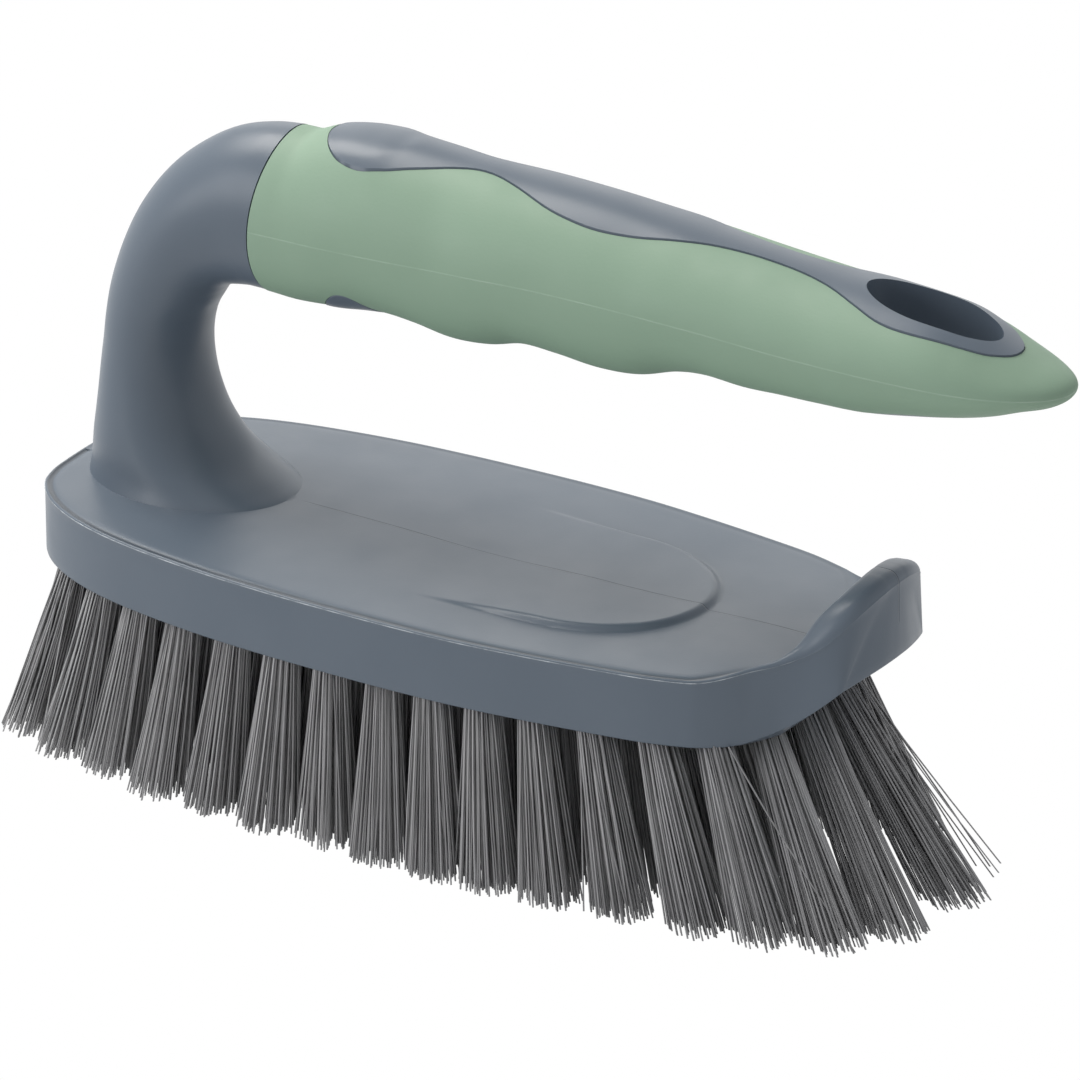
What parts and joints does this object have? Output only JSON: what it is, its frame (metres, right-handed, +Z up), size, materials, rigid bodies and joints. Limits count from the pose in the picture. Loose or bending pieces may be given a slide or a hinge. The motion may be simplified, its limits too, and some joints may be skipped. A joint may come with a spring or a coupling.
{
  "type": "scrubbing brush",
  "caption": "Hand scrubbing brush: oval block with an upturned nose, a swan neck and a forward two-colour grip with a hanging hole, tufted below",
  "frame": {"origin": "on the ground under the middle of the brush's outline, at the bristle tips' level", "axes": "+X from the neck end of the block to the nose and the handle's tip, +Y to the left seen from the neck end, +Z up"},
  "size_m": [0.1884, 0.0694, 0.1091],
  "materials": {
    "slate_plastic": "satin moulded polypropylene, blue-grey",
    "sage_rubber": "soft matte grip rubber, sage green",
    "filament": "dark grey synthetic filament"
  },
  "bodies": {
    "root": {"brush_body": "slate_plastic", "handle_core": "slate_plastic", "grip_sleeve": "sage_rubber", "tuft_row_01": "filament", "tuft_row_02": "filament", "tuft_row_03": "filament", "tuft_row_04": "filament", "tuft_row_05": "filament", "tuft_row_06": "filament", "tuft_row_07": "filament", "tuft_row_08": "filament", "tuft_row_09": "filament", "tuft_row_10": "filament", "tuft_row_11": "filament", "tuft_row_12": "filament", "tuft_row_13": "filament", "tuft_row_14": "filament", "tuft_row_15": "filament"}
  },
  "joints": []
}
